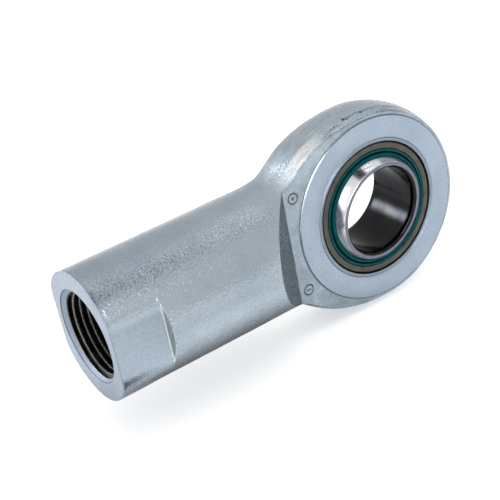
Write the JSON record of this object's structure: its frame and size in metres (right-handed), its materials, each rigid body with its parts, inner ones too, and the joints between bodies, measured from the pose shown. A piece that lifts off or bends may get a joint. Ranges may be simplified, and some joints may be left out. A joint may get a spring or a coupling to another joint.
{
  "type": "rod end bearing",
  "caption": "Female-thread rod end: round threaded shank with wrench flats, forged eye, and a sealed spherical plain bearing that swivels and tilts in it.",
  "frame": {"origin": "centre of the spherical bearing, on the eye's axis", "axes": "+Y along the eye's axis towards the rear face, +X away from the shank, +Z across the eye; the thread's mouth points to -X"},
  "size_m": [0.188, 0.057, 0.092],
  "materials": {
    "zinc_plated_steel": "satin zinc plate over a blasted forging",
    "phosphated_steel": "satin dark phosphate",
    "ptfe_liner": "matte woven",
    "chromed_steel": "mirror-polished sphere, fine-ground faces and bore",
    "green_seal": "satin"
  },
  "bodies": {
    "housing": {"housing": "zinc_plated_steel", "outer_ring": "phosphated_steel", "front_seal": "green_seal", "rear_seal": "green_seal"},
    "liner": {"liner": "ptfe_liner"},
    "inner_ring": {"inner_ring": "chromed_steel"}
  },
  "joints": [
    {"name": "swivel", "type": "hinge", "parent": "housing", "child": "liner", "pos_m": [0, 0, 0], "axis": [0, 1, 0], "continuous": true},
    {"name": "tilt", "type": "hinge", "parent": "liner", "child": "inner_ring", "pos_m": [0, 0, 0], "axis": [0.76, 0, 0.6499], "range_deg": [-12.53, 1.47]}
  ]
}
